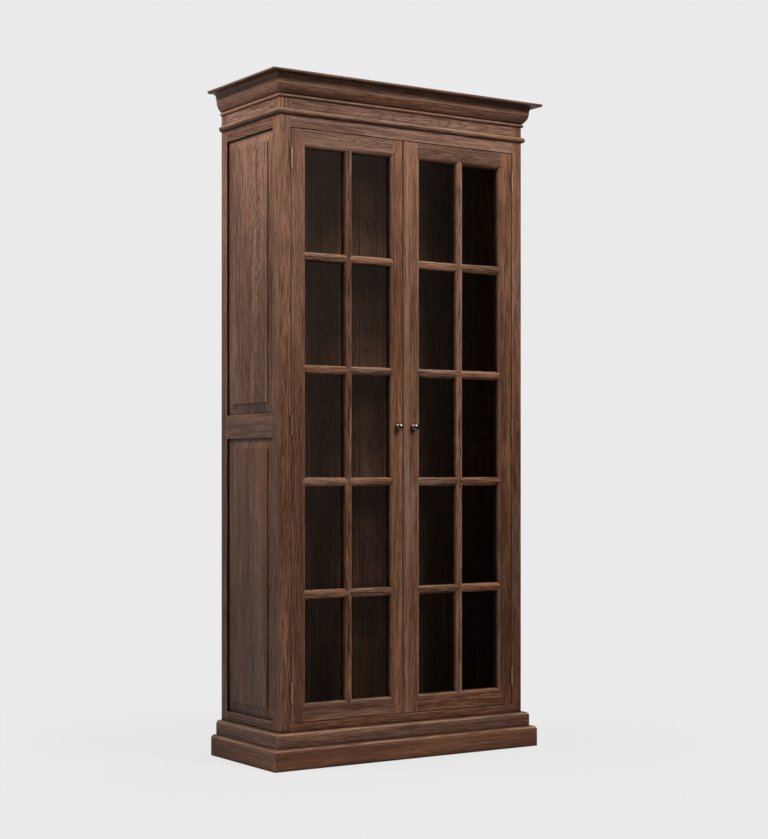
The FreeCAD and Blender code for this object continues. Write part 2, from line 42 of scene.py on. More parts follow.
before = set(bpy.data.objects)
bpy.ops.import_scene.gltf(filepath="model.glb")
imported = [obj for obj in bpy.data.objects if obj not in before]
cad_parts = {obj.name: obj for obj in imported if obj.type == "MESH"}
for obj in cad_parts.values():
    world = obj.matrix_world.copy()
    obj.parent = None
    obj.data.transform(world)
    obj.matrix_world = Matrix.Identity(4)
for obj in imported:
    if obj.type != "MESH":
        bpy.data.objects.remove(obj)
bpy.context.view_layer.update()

# points nearer than this are one, and a closed board has at least so many faces
WELD, TINY, LEAST_FACES = 2e-6, 1e-9, 4

# angles between faces, in degrees
FLAT_ANGLE, ROUND_ANGLE, ARRIS_ANGLE, SMOOTH_ANGLE = 0.6, 35.0, 38.0, 50.0

# easing of the arrises, and the room that it needs on each side of one
FINE_EASING, PANEL_EASING = 0.0008, 0.0007
EASING_ROOM, EASING_OF_THICKNESS = 2.2, 0.25
EASING_SEGMENTS, EASING_PROFILE = 2, 0.6

# roundings of these radii get all and none of the wear and painted highlight; a face that stands
# upright gets its own share, and others a painted highlight strongest at one rise of the face
# and less on both sides of it
SMALL_ROUND, WIDE_ROUND = 0.014, 0.030
UPRIGHT_RISE, UPRIGHT_WEAR_AND_HIGHLIGHT = 0.12, 0.40
HIGHLIGHT_RISE, HIGHLIGHT_SPREAD = 0.66, 0.24

# the pith: its depth and place aside, as shares of a board's half width, and least distances
PITH_DEPTH, PITH_ASIDE = (0.35, 0.75), 0.35
LEAST_PITH_DEPTH, PITH_OUTSIDE = 0.008, 0.03
TREE_NUMBERS = (3.0, 60.0)
ARCHED = ("upper_panel", "front_left_post", "crown_front", "top_rail_oak", "base_moulding_front",
          "back_boards")

# tones of some boards, as steps away from the middle one: partly the boards' own colour and
# partly painted light, lightening or darkening a board against how the lamps and the painted
# shade fall on it
BOARD_TONES = {"front_top_rail": 0.01, "crown_left": 0.43, "lower_panel": -0.02,
                "upper_panel": -0.04, "base_moulding_front": 0.09, "back_boards": 0.20,
                "top_board": -0.15, "meeting_stile": 0.13, "front_left_post": 0.06,
                "door_bottom_rail": 0.12, "plinth_front": 0.08, "plinth_left": 0.25,
                "base_moulding_left": 0.22, "left_top_rail": -0.09, "glazing_bars": -0.08,
                "glazing_stops": 0.16}

# how strongly the grain shows, how strong the painted shade in corners and quirks is, and how
# strong the edge wear and the painted highlights on roundings are, by the first of these words
# that the piece's name holds
WORKING = {"glazing_bars": (2.0, 0.30, 0.8), "right_door_meeting_stile": (0.9, 0.7, 0.9),
           "stile": (0.85, 0.7, 0.5), "front_right_post": (0.8, 1.0, 0.8),
           "post": (1.1, 1.0, 0.8), "plinth": (0.5, 0.8, 1.5),
           "base_moulding": (0.7, 0.5, 1.4), "crown_left": (0.6, 0.35, 0.6),
           "crown": (0.7, 0.75, 0.7), "top_board": (0.8, 1.0, 0.12),
           "middle_rail": (0.7, 1.0, 0.8), "upper_panel": (1.25, 1.0, 1.0),
           "left_top_rail": (1.3, 1.0, 1.0), "door_top_rail": (0.75, 0.8, 0.7),
           "front_top_rail": (0.85, 1.0, 0.8), "glazing_stops": (1.0, 0.25, 1.0)}
PLAIN_WORKING = (1.0, 1.0, 1.0)

# noise in the wood: cells per metre along, across and through a board, detail and roughness
GRAIN_NOISE = {"wander": ((2.2, 12.0, 12.0), 3.0, 0.55), "shiver": ((18.0, 80.0, 80.0), 2.0, 0.5),
               "fibre": ((10.0, 420.0, 420.0), 2.0, 0.6), "streak": ((4.5, 150.0, 150.0), 2.0, 0.6),
               "fleck": ((15.0, 260.0, 260.0), 2.0, 0.6), "stripe": ((0.9, 36.0, 36.0), 3.0, 0.6),
               "cloud": ((1.6, 7.0, 7.0), 3.0, 0.5), "pore": ((30.0, 900.0, 900.0), 1.0, 0.5),
               "bold": ((1.2, 14.0, 14.0), 2.0, 0.5), "ash": ((1.1, 16.0, 16.0), 2.0, 0.5),
               "rub": ((9.0, 210.0, 210.0), 3.0, 0.6)}
HONEY_NOISE, HONEY_SHIFT = ((0.8, 13.0, 13.0), 2.0, 0.5), (7.0, 3.0, 5.0)

# how far a growth ring leans along the board, strays from its course and shivers
RING_SLOPE, RING_SLOPE_SPREAD = 0.035, 0.13
RING_WANDER, RING_SHIVER = 0.022, 0.0032

# how far each mark moves the shade of the wood, which runs from 0, all stain, to 1, all bloom
STREAK_SHARE, FLECK_SHARE, FIBRE_SHARE, STRIPE_SHARE, PORE_SHARE = 0.10, 0.135, 0.34, 0.36, -0.22
CLOUD_SHARE, MARKS_MEAN, SHADE_MEAN = 0.22, 0.09, 0.41
# painted shade facing down and low down, painted light facing up; the low shade fades by height
PAINTED_SHADE_FACING_DOWN, PAINTED_LIGHT_FACING_UP = -0.15, 0.05
PAINTED_SHADE_LOW, LOW_DOWN, HIGH_UP = -0.17, 0.20, 1.10
COOL_OR_WARM, COOL_OR_WARM_TURNS = 0.12, 5.3

# ash-grey and honey-brown places in the wood
ASH_EDGES, ASH_SHARE = (0.46, 0.64), 0.50
HONEY_EDGES, HONEY_SHARE = (0.50, 0.66), 0.55
ASH = {"Saturation": 0.74, "Value": 1.04}
HONEY = {"Hue": 0.507, "Saturation": 1.08, "Value": 1.12}

# open air round a point, where the painted shade of corners, quirks and gaps is full and where none
CORNER_SHADE_EDGES, OWN_CORNER_SHADE_EDGES = (0.54, 0.90), (0.72, 0.97)

# how far the film on a metal spreads over its patches, and the metals' marks of making in
# cells per metre
FILM_EDGES, FILM_SPREAD = (0.62, 0.92), 0.4
POLISHED, DRAWN, BRUSHED = (260.0, 260.0, 260.0), (90.0, 90.0, 900.0), (700.0, 60.0, 700.0)

# second colours, as shares of the first
STEEL_FILM, PLASTIC_CLOUD, DUST_FILM, FLOOR_SPECK = 0.45, 1.7, 0.96, 0.9

# place, aim, width and height, power in watts, colour, and whether gloss shows the lamp
LAMPS = {
    "key_softbox": ((1.7, -4.6, 5.0), (0.0, 0.0, 1.3), 1.6, 1.6, 175.0, (1.0, 0.975, 0.94), True),
    "low_softbox": ((1.5, -5.4, 2.6), (0.0, 0.0, 1.6), 1.2, 1.2, 47.0, (1.0, 0.975, 0.94), False),
    "high_softbox": ((0.35, -1.5, 3.4), (0.0, -0.1, 1.9), 1.4, 0.9, 27.0, (1.0, 0.98, 0.95), True),
    "side_softbox": ((-1.6, 0.3, 3.4), (-0.5, 0.0, 1.9), 1.2, 1.0, 60.0, (1.0, 0.95, 0.89), True),
    "fill_softbox": ((2.6, 1.0, 2.8), (0.4, 0.1, 1.4), 1.4, 1.4, 34.0, (1.0, 0.98, 0.96), False),
}
LAMP_TINT, ROOM_TINT = (1.0, 0.985, 0.965), (1.0, 0.77, 0.60)
FLOOR_CELLS, FLOOR_SPARE, PAPER_ON_FLOOR = 24, 1.1, 0.86
SENSOR_WIDTH, CLIP_START, CLIP_END = 36.0, 0.05, 60.0


# ------------------------------------------------------------------ sizes and colours
def colour(name, description, default):
    return bpy.props.FloatVectorProperty(name=name, description=description, default=default,
                                         subtype="COLOR", size=3, min=0.0, max=1.0)


def length(name, description, default):
    return bpy.props.FloatProperty(name=name, description=description, default=default,
                                   unit="LENGTH", min=0.0, precision=5)


def share(name, description, default, most=1.0):
    return bpy.props.FloatProperty(name=name, description=description, default=default,
                                   min=0.0, max=most, precision=3)


class BOOKCASE_PG_oak(bpy.types.PropertyGroup):
    """The stained and brushed oak."""
    stain: colour("Stain", "Stain lying in the open grain", (0.036, 0.0125, 0.0060))
    ground: colour("Ground", "Colour of the wood between the pores", (0.116, 0.0454, 0.0238))
    bloom: colour("Bloom", "Paler late wood on the ridges of the grain", (0.325, 0.161, 0.096))
    # this colour is the rubbed wear on arrises and also the painted highlight on small roundings
    wear_and_highlight: colour("Worn arris", "Wood where handling has rubbed the stain off",
                 (0.360, 0.222, 0.142))
    ring: length("Ring width", "Distance between two growth rings", 0.0060)
    easing: length("Easing", "Width of the eased arris along every board", 0.0014)
    shade: share("Board to board", "How much the boards differ in tone", 0.10)
    relief: length("Relief", "Depth of the brushed grain", 0.0007)
    # the painted shade in corners, quirks and gaps, and how near a surface must lie to cast it
    corner_shade_depth: share("Pooled stain", "How much darker the wood is in its corners and quirks", 0.88)
    hollow: length("Hollow", "How near another surface lies where stain pools", 0.016)


class BOOKCASE_PG_metal(bpy.types.PropertyGroup):
    """Brass hinges, pewter knobs and steel fittings."""
    brass: colour("Brass", "Bare brass on the hinge knuckles", (0.640, 0.470, 0.300))
    brass_tarnish: colour("Brass tarnish", "Brown film on the brass", (0.200, 0.138, 0.088))
    pewter: colour("Pewter", "Rubbed face of the knobs", (0.300, 0.240, 0.205))
    pewter_patina: colour("Pewter patina", "Dark film in the hollows of the knobs",
                          (0.058, 0.045, 0.037))
    steel: colour("Steel", "Plates and shelf pins", (0.450, 0.450, 0.460))
    catch: colour("Catch", "Moulded housing of the magnetic catches", (0.060, 0.052, 0.046))


class BOOKCASE_PG_glass(bpy.types.PropertyGroup):
    """The clear panes."""
    tint: colour("Tint", "Light that one face of a pane lets through", (0.906, 0.900, 0.890))
    shelf_tint: colour("Shelf tint", "Light that one face of a shelf lets through",
                       (0.975, 0.980, 0.978))
    haze: share("Haze", "Roughness of the reflections", 0.02)


class BOOKCASE_PG_studio(bpy.types.PropertyGroup):
    """Camera, lamps, floor and background."""
    camera_place: bpy.props.FloatVectorProperty(
        name="Camera", description="Where the camera stands",
        default=(-3.4737, -5.3342, 0.9775), subtype="TRANSLATION", size=3)
    camera_turn: bpy.props.FloatProperty(
        name="Turn", description="How far the camera is turned to the right of straight ahead",
        default=math.radians(33.263), subtype="ANGLE")
    lens: bpy.props.FloatProperty(name="Lens", description="Focal length in millimetres",
                                  default=77.54, min=1.0)
    rise: bpy.props.FloatProperty(name="Rise", description="Vertical shift of the lens",
                                  default=0.0639)
    paper: colour("Paper", "Colour of the background", (0.828, 0.828, 0.828))
    floor: colour("Floor", "Colour of the pale floor", (0.720, 0.720, 0.718))
    floor_reach: length("Floor reach", "Distance at which the floor has faded into the paper", 1.7)
    ambient: share("Ambient", "Level of the light from above and all round", 0.13, 4.0)
    bounce: share("Bounce", "Level of the light that comes up from below", 0.09, 4.0)
    dusk: share("Dusk", "Level of the unlit room in front, as gloss shows it", 0.006, 4.0)
    glow: share("Glow", "Level of the brighter side of that room", 0.28, 4.0)


GROUPS = {"bookcase_oak": BOOKCASE_PG_oak, "bookcase_metal": BOOKCASE_PG_metal,
          "bookcase_glass": BOOKCASE_PG_glass, "bookcase_studio": BOOKCASE_PG_studio}


# ------------------------------------------------------------------ material recipes
def opaque(shade):
    return (*shade, 1.0)


def add(tree, kind, inputs=None, **settings):
    """A new node with its settings, and its sockets joined to others or set to plain values."""
    node = tree.nodes.new(kind)
    for name, value in settings.items():
        setattr(node, name, value)
    for socket, value in (inputs or {}).items():
        if isinstance(value, bpy.types.NodeSocket):
            tree.links.new(value, node.inputs[socket])
        else:
            node.inputs[socket].default_value = value
    return node


def calc(tree, operation, first, second=0.0, third=0.0, clamp=False):
    node = add(tree, "ShaderNodeMath", {0: first, 1: second, 2: third}, operation=operation)
    node.use_clamp = clamp
    return node.outputs[0]


def vector(tree, operation, first, second):
    return add(tree, "ShaderNodeVectorMath", {0: first, 1: second}, operation=operation).outputs[0]


def blend_colour(tree, amount, first, second, blend="MIX"):
    node = add(tree, "ShaderNodeMix", {0: amount, 6: first, 7: second}, data_type="RGBA",
               blend_type=blend)
    return node.outputs[2]


def split(tree, value):
    """The three parts of a vector."""
    return add(tree, "ShaderNodeSeparateXYZ", {0: value}).outputs


def alike(tree, value):
    """A vector whose three parts are the value."""
    return add(tree, "ShaderNodeCombineXYZ", {0: value, 1: value, 2: value}).outputs[0]


def total(tree, first, *others):
    for other in others:
        first = calc(tree, "ADD", first, other)
    return first


def carried(tree, name, output):
    """What the board itself carries under the name."""
    return add(tree, "ShaderNodeAttribute", attribute_name=name).outputs[output]


def step(tree, value, start, end, low=0.0, high=1.0):
    """A soft step from low at start to high at end."""
    return add(tree, "ShaderNodeMapRange", {"Value": value, "From Min": start, "From Max": end,
                                            "To Min": low, "To Max": high},
               interpolation_type="SMOOTHSTEP").outputs[0]


def fractal(tree, place, scale, detail, roughness):
    """Noise of middle value 0.5, stretched by the scale along each axis."""
    stretched = vector(tree, "MULTIPLY", place, scale)
    return add(tree, "ShaderNodeTexNoise", {"Vector": stretched, "Scale": 1.0, "Detail": detail,
                                            "Roughness": roughness}).outputs[0]


def swing(tree, noise, amount):
    """Noise turned into a value that swings by the amount to both sides of nothing."""
    return calc(tree, "MULTIPLY", calc(tree, "SUBTRACT", noise, 0.5), amount * 2.0)


def blank_material(name):
    material = bpy.data.materials.get(name) or bpy.data.materials.new(name)
    material.use_nodes = True
    material.node_tree.nodes.clear()
    return material, material.node_tree


def close_material(tree, surface):
    output = tree.nodes.new("ShaderNodeOutputMaterial")
    tree.links.new(surface, output.inputs["Surface"])


def late_wood(tree, grain, pith, noise, ring_width):
    """Pale late wood of the growth rings, which open into arches on a face cut along them."""
    along, across, through = split(tree, grain)
    aside, depth, number = split(tree, pith)
    across = calc(tree, "SUBTRACT", across, aside)
    through = calc(tree, "SUBTRACT", through, depth)
    radius = calc(tree, "SQRT", calc(tree, "ADD", calc(tree, "MULTIPLY", across, across),
                                     calc(tree, "MULTIPLY", through, through)))
    slope = calc(tree, "MULTIPLY_ADD", calc(tree, "FRACT", number), RING_SLOPE_SPREAD, RING_SLOPE)
    climb = calc(tree, "MULTIPLY", along, slope)
    wander = swing(tree, noise["wander"], RING_WANDER)
    shiver = swing(tree, noise["shiver"], RING_SHIVER)
    grown = calc(tree, "ADD", calc(tree, "ADD", radius, climb), calc(tree, "ADD", wander, shiver))
    ring = calc(tree, "FRACT", calc(tree, "DIVIDE", calc(tree, "ADD", grown, 1.0), ring_width))
    return calc(tree, "MULTIPLY", step(tree, ring, 0.0, 0.30), step(tree, ring, 1.0, 0.92))


def painted_shade_by_facing_and_height(tree):
    """Painted light and shade: lighter facing up, darker facing down and darker low down."""
    normal = add(tree, "ShaderNodeNewGeometry").outputs["True Normal"]
    rise = split(tree, normal)[2]
    facing_light_and_shade = calc(tree, "ADD", step(tree, rise, -0.18, -0.02, PAINTED_SHADE_FACING_DOWN, 0.0),
                  step(tree, rise, 0.02, 0.18, 0.0, PAINTED_LIGHT_FACING_UP))
    stand = split(tree, add(tree, "ShaderNodeTexCoord").outputs["Object"])[2]
    return facing_light_and_shade, step(tree, stand, LOW_DOWN, HIGH_UP, PAINTED_SHADE_LOW, 0.0)


def wood_colour(tree, level, number, place, noise):
    """Colour of the wood at a level of shade, with its ash-grey and honey-brown places."""
    oak = bpy.context.scene.bookcase_oak
    shade = add(tree, "ShaderNodeValToRGB", {0: level})
    stops = shade.color_ramp
    stops.interpolation = "B_SPLINE"
    stops.elements[0].position = 0.0
    stops.elements[0].color = opaque(oak.stain)
    stops.elements[1].position = 1.0
    stops.elements[1].color = opaque(oak.bloom)
    stops.elements.new(0.5).color = opaque(oak.ground)
    body = shade.outputs[0]
    turn = calc(tree, "FRACT", calc(tree, "MULTIPLY", number, COOL_OR_WARM_TURNS))
    cast = calc(tree, "MULTIPLY_ADD", turn, COOL_OR_WARM * 2.0, -COOL_OR_WARM)
    ash = calc(tree, "ADD", noise["ash"], cast)
    honey = fractal(tree, vector(tree, "ADD", place, HONEY_SHIFT), *HONEY_NOISE)
    honey = calc(tree, "SUBTRACT", honey, cast)
    for amount, edges, most, hue in ((ash, ASH_EDGES, ASH_SHARE, ASH),
                                     (honey, HONEY_EDGES, HONEY_SHARE, HONEY)):
        turned = add(tree, "ShaderNodeHueSaturation", {**hue, "Color": body}).outputs[0]
        body = blend_colour(tree, step(tree, amount, *edges, 0.0, most), body, turned)
    return body


def edge_wear_and_highlight(tree, grain, half, wear_and_highlight, rub_noise):
    """Rubbed stain on and near the edges, and the painted highlights that worn carries."""
    distance = add(tree, "ShaderNodeVectorMath", {0: grain}, operation="ABSOLUTE").outputs[0]
    # the nearest edge is where two of the three faces of the board are close
    x, y, z = split(tree, vector(tree, "SUBTRACT", half, distance))
    nearest = calc(tree, "MAXIMUM", calc(tree, "MINIMUM", x, y),
                   calc(tree, "MINIMUM", calc(tree, "MAXIMUM", x, y), z))
    rub = calc(tree, "MULTIPLY", step(tree, nearest, 0.0055, 0.0005),
               step(tree, rub_noise, 0.44, 0.66))
    return calc(tree, "MAXIMUM", calc(tree, "MULTIPLY", rub, 0.35),
                calc(tree, "MULTIPLY", wear_and_highlight, step(tree, rub_noise, 0.40, 0.60, 0.16, 1.0)))


def painted_corner_shade(tree, corner_shade_share, shade_from_own_boards):
    """Painted shade that darkens corners, quirks and gaps where another surface lies near."""
    oak = bpy.context.scene.bookcase_oak
    near = add(tree, "ShaderNodeAmbientOcclusion", {"Distance": oak.hollow}, samples=6,
               only_local=shade_from_own_boards)
    edges = OWN_CORNER_SHADE_EDGES if shade_from_own_boards else CORNER_SHADE_EDGES
    painted_shade = step(tree, near.outputs["AO"], *edges, -oak.corner_shade_depth, 0.0)
    return alike(tree, calc(tree, "MULTIPLY_ADD", painted_shade, corner_shade_share, 1.0))


def oak_material(name, shade_from_own_boards=False):
    """Stained, brushed oak: growth rings round a pith line, long pores, and rubbed arrises, with
    painted highlights on small roundings and painted shade.

    Each board carries its own axes in "grain" (along, across, through), the place of its pith in
    "pith", half its size in "half", its tone in "tone", the strength of its grain in "figure",
    the strength of the painted shade in its corners in "pooling", and its eased edges and the
    painted highlights on its small roundings in "worn".
    Where shade_from_own_boards is true, that painted shade comes only from the boards of the piece
    itself.
    """
    oak = bpy.context.scene.bookcase_oak
    material, tree = blank_material(name)
    grain, pith, half = [carried(tree, mark, "Vector") for mark in ("grain", "pith", "half")]
    tone, wear_and_highlight, figure, corner_shade_share = [carried(tree, mark, "Fac")
                                   for mark in ("tone", "wear_and_highlight", "figure", "corner_shade_share")]
    number = split(tree, pith)[2]
    place = vector(tree, "ADD", grain, alike(tree, number))
    noise = {mark: fractal(tree, place, *recipe) for mark, recipe in GRAIN_NOISE.items()}

    # growth rings, long fibres, pores and broad streaks, set against their mean
    late = late_wood(tree, grain, pith, noise, oak.ring)
    early = calc(tree, "SUBTRACT", 1.0, late)
    pore = calc(tree, "MULTIPLY", step(tree, noise["pore"], 0.56, 0.68),
                calc(tree, "MULTIPLY_ADD", early, 0.75, 0.25))
    bold = step(tree, noise["bold"], 0.40, 0.62, 0.10, 0.36)
    streak = step(tree, noise["streak"], 0.43, 0.57, -1.0, 1.0)
    fleck = step(tree, noise["fleck"], 0.44, 0.56, -1.0, 1.0)
    drawn = total(tree, calc(tree, "MULTIPLY", late, bold),
                  calc(tree, "MULTIPLY", streak, STREAK_SHARE),
                  calc(tree, "MULTIPLY", fleck, FLECK_SHARE),
                  swing(tree, noise["fibre"], FIBRE_SHARE),
                  swing(tree, noise["stripe"], STRIPE_SHARE),
                  calc(tree, "MULTIPLY", pore, PORE_SHARE))
    drawn = calc(tree, "SUBTRACT", drawn, MARKS_MEAN)
    # the board's tone, and painted light and shade by facing and by height
    level = total(tree, calc(tree, "MULTIPLY_ADD", drawn, figure, SHADE_MEAN),
                  swing(tree, noise["cloud"], CLOUD_SHARE), tone, *painted_shade_by_facing_and_height(tree))

    body = wood_colour(tree, level, number, place, noise)
    # rubbed edges, and the painted highlights on small roundings, in the worn colour
    rub = edge_wear_and_highlight(tree, grain, half, wear_and_highlight, noise["rub"])
    body = blend_colour(tree, rub, body, opaque(oak.wear_and_highlight))
    # painted shade in corners, quirks and gaps
    body = blend_colour(tree, 1.0, body, painted_corner_shade(tree, corner_shade_share, shade_from_own_boards), "MULTIPLY")

    # brushed relief and waxed sheen
    height = calc(tree, "ADD", calc(tree, "MULTIPLY", late, 0.35),
                  calc(tree, "ADD", calc(tree, "MULTIPLY", noise["fibre"], 0.55),
                       calc(tree, "MULTIPLY", pore, -0.60)))
    relief = add(tree, "ShaderNodeBump", {"Height": height, "Strength": 0.55,
                                          "Distance": oak.relief}).outputs[0]
    roughness = calc(tree, "ADD", 0.40,
                     calc(tree, "ADD", calc(tree, "MULTIPLY", pore, 0.22),
                          calc(tree, "MULTIPLY", noise["fibre"], 0.16)))
    wood = add(tree, "ShaderNodeBsdfPrincipled", {"Base Color": body, "Roughness": roughness,
                                                  "IOR": 1.46, "Specular IOR Level": 0.18,
                                                  "Normal": relief})
    close_material(tree, wood.outputs[0])
    return material


def metal_material(name, bright, film, film_share, roughness, making):
    """A metal with a film that stays where it isn't rubbed, and fine marks of its making."""
    material, tree = blank_material(name)
    place = add(tree, "ShaderNodeTexCoord").outputs["Object"]
    patches = fractal(tree, place, (150.0, 150.0, 150.0), 4.0, 0.6)
    marks = fractal(tree, place, making, 2.0, 0.5)
    rubbed = add(tree, "ShaderNodeNewGeometry").outputs["Pointiness"]
    rubbed = step(tree, rubbed, 0.46, 0.56)
    start, end = (edge - film_share * FILM_SPREAD for edge in FILM_EDGES)
    covered = calc(tree, "SUBTRACT", step(tree, patches, start, end),
                   calc(tree, "MULTIPLY", rubbed, 0.35), clamp=True)
    covered = calc(tree, "MAXIMUM", covered, film_share * 0.5)
    body = blend_colour(tree, covered, opaque(bright), opaque(film))
    body = blend_colour(tree, calc(tree, "MULTIPLY", marks, 0.25), body, opaque(film))
    rough = calc(tree, "ADD", roughness, calc(tree, "ADD", calc(tree, "MULTIPLY", covered, 0.22),
                                              swing(tree, marks, 0.06)))
    relief = add(tree, "ShaderNodeBump", {"Height": calc(tree, "ADD", marks, patches),
                                          "Strength": 0.25, "Distance": 0.0001}).outputs[0]
    metal = add(tree, "ShaderNodeBsdfPrincipled",
                {"Base Color": body, "Metallic": 1.0, "Roughness": rough, "Normal": relief})
    close_material(tree, metal.outputs[0])
    return material


def moulded_material(name, shade):
    """A matt moulded plastic with a fine spark-eroded grain."""
    material, tree = blank_material(name)
    place = add(tree, "ShaderNodeTexCoord").outputs["Object"]
    grain = fractal(tree, place, (1400.0, 1400.0, 1400.0), 2.0, 0.5)
    cloud = fractal(tree, place, (90.0, 90.0, 90.0), 2.0, 0.5)
    paler = [min(1.0, v * PLASTIC_CLOUD) for v in shade]
    body = blend_colour(tree, step(tree, cloud, 0.3, 0.8), opaque(shade), opaque(paler))
    relief = add(tree, "ShaderNodeBump", {"Height": grain, "Strength": 0.4,
                                          "Distance": 0.0001}).outputs[0]
    rough = calc(tree, "MULTIPLY_ADD", grain, 0.2, 0.48)
    plastic = add(tree, "ShaderNodeBsdfPrincipled", {"Base Color": body, "Roughness": rough,
                                                     "Normal": relief})
    close_material(tree, plastic.outputs[0])
    return material


def pane_material(name, shade):
    """Clear sheet glass with a faint uneven film of dust."""
    glass = bpy.context.scene.bookcase_glass
    material, tree = blank_material(name)
    place = add(tree, "ShaderNodeTexCoord").outputs["Object"]
    film = fractal(tree, place, (7.0, 7.0, 3.0), 4.0, 0.6)
    streaks = fractal(tree, place, (60.0, 60.0, 4.0), 2.0, 0.5)
    dusty = calc(tree, "MULTIPLY", film, streaks)
    tint = blend_colour(tree, step(tree, dusty, 0.1, 0.5), opaque(shade),
                        opaque([v * DUST_FILM for v in shade]))
    clear = add(tree, "ShaderNodeBsdfTransparent", {"Color": tint})
    rough = calc(tree, "MULTIPLY_ADD", dusty, 0.05, glass.haze)
    shine = add(tree, "ShaderNodeBsdfGlossy", {"Color": (1.0, 1.0, 1.0, 1.0), "Roughness": rough})
    lean = add(tree, "ShaderNodeFresnel", {"IOR": 1.45}).outputs[0]
    surface = add(tree, "ShaderNodeMixShader", {0: lean, 1: clear.outputs[0],
                                                2: shine.outputs[0]})
    close_material(tree, surface.outputs[0])
    return material


# ------------------------------------------------------------------ dressing the boards
def welded(node):
    """The packed solid's mesh, with its doubled points made one."""
    work = bmesh.new()
    work.from_mesh(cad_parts[node].data)
    bmesh.ops.remove_doubles(work, verts=work.verts, dist=WELD)
    return work


def boards_in(work):
    """Groups of faces that belong to one board each."""
    seen = set()
    groups = []
    for face in work.faces:
        if face in seen:
            continue
        seen.add(face)
        waiting, group = [face], []
        while waiting:
            current = waiting.pop()
            group.append(current)
            for edge in current.edges:
                if len(edge.link_faces) == 2:
                    for neighbour in edge.link_faces:
                        if neighbour not in seen:
                            seen.add(neighbour)
                            waiting.append(neighbour)
        if len(group) >= LEAST_FACES:
            groups.append(group)
    return groups


def lift_out(group):
    """One board as a mesh of its own, with its flat faces whole again."""
    board = bmesh.new()
    corners = {}
    for face in group:
        loop = []
        for vertex in face.verts:
            if vertex not in corners:
                corners[vertex] = board.verts.new(vertex.co)
            loop.append(corners[vertex])
        board.faces.new(loop)
    bmesh.ops.dissolve_limit(board, angle_limit=math.radians(FLAT_ANGLE), verts=board.verts,
                             edges=board.edges, use_dissolve_boundaries=False)
    bmesh.ops.recalc_face_normals(board, faces=board.faces)
    return board


def ease_arrises(board, easing):
    """Takes the sharp edge off the board's arrises, and returns the faces that this leaves."""
    sharp = []
    for edge in board.edges:
        if len(edge.link_faces) != 2 or not edge.is_convex:
            continue
        if edge.calc_face_angle(0.0) < math.radians(ARRIS_ANGLE):
            continue
        span = edge.calc_length()
        room = min(face.calc_area() for face in edge.link_faces) / max(span, TINY)
        if min(room, span) > easing * EASING_ROOM:
            sharp.append(edge)
    if not sharp:
        return set()
    made = bmesh.ops.bevel(board, geom=sharp, offset=easing, offset_type="OFFSET",
                           segments=EASING_SEGMENTS, profile=EASING_PROFILE, affect="EDGES",
                           clamp_overlap=True)
    return set(made["faces"])


def axes_by_length(board):
    """Middle and half size of a board, and its axes from the longest to the shortest."""
    low = Vector([min(v.co[i] for v in board.verts) for i in range(3)])
    high = Vector([max(v.co[i] for v in board.verts) for i in range(3)])
    half = (high - low) / 2.0
    order = sorted(range(3), key=lambda i: -half[i])
    return (low + high) / 2.0, half, order


def wear_and_highlight_share(face):
    """How much wear and painted highlight a face gets: most on small roundings that look up."""
    width = face.calc_area() / max(edge.calc_length() for edge in face.edges)
    bend = 0.0
    for edge in face.edges:
        if len(edge.link_faces) == 2 and edge.is_convex:
            turn = edge.calc_face_angle(0.0)
            if turn < math.radians(ROUND_ANGLE):
                bend = max(bend, turn / width)
    tight = (bend - 1.0 / WIDE_ROUND) / (1.0 / SMALL_ROUND - 1.0 / WIDE_ROUND)
    rise = face.normal.z
    highlit = max(0.0, 1.0 - ((rise - HIGHLIGHT_RISE) / HIGHLIGHT_SPREAD) ** 2)
    if abs(rise) < UPRIGHT_RISE:
        highlit = UPRIGHT_WEAR_AND_HIGHLIGHT
    return min(1.0, max(0.0, tight)) * highlit


def pith_of(name, half_width, half_thickness, dice):
    """Where the pith of a board's tree ran, across and through it, and the tree's number.

    Right behind the board it draws arches on its face. Off to one side it draws plain stripes.
    """
    depth = max(LEAST_PITH_DEPTH, half_width * dice.uniform(*PITH_DEPTH))
    aside = dice.uniform(-PITH_ASIDE, PITH_ASIDE) * half_width
    if not any(word in name for word in ARCHED):
        aside += math.copysign(half_width + PITH_OUTSIDE, aside)
    return aside, -half_thickness - depth, dice.uniform(*TREE_NUMBERS)


def keep_marks(mesh, name, kind, domain, values):
    """Keeps a value for each point or face of the mesh under the name."""
    layer = mesh.attributes.new(name, kind, domain)
    layer.data.foreach_set("vector" if kind == "FLOAT_VECTOR" else "value", values)


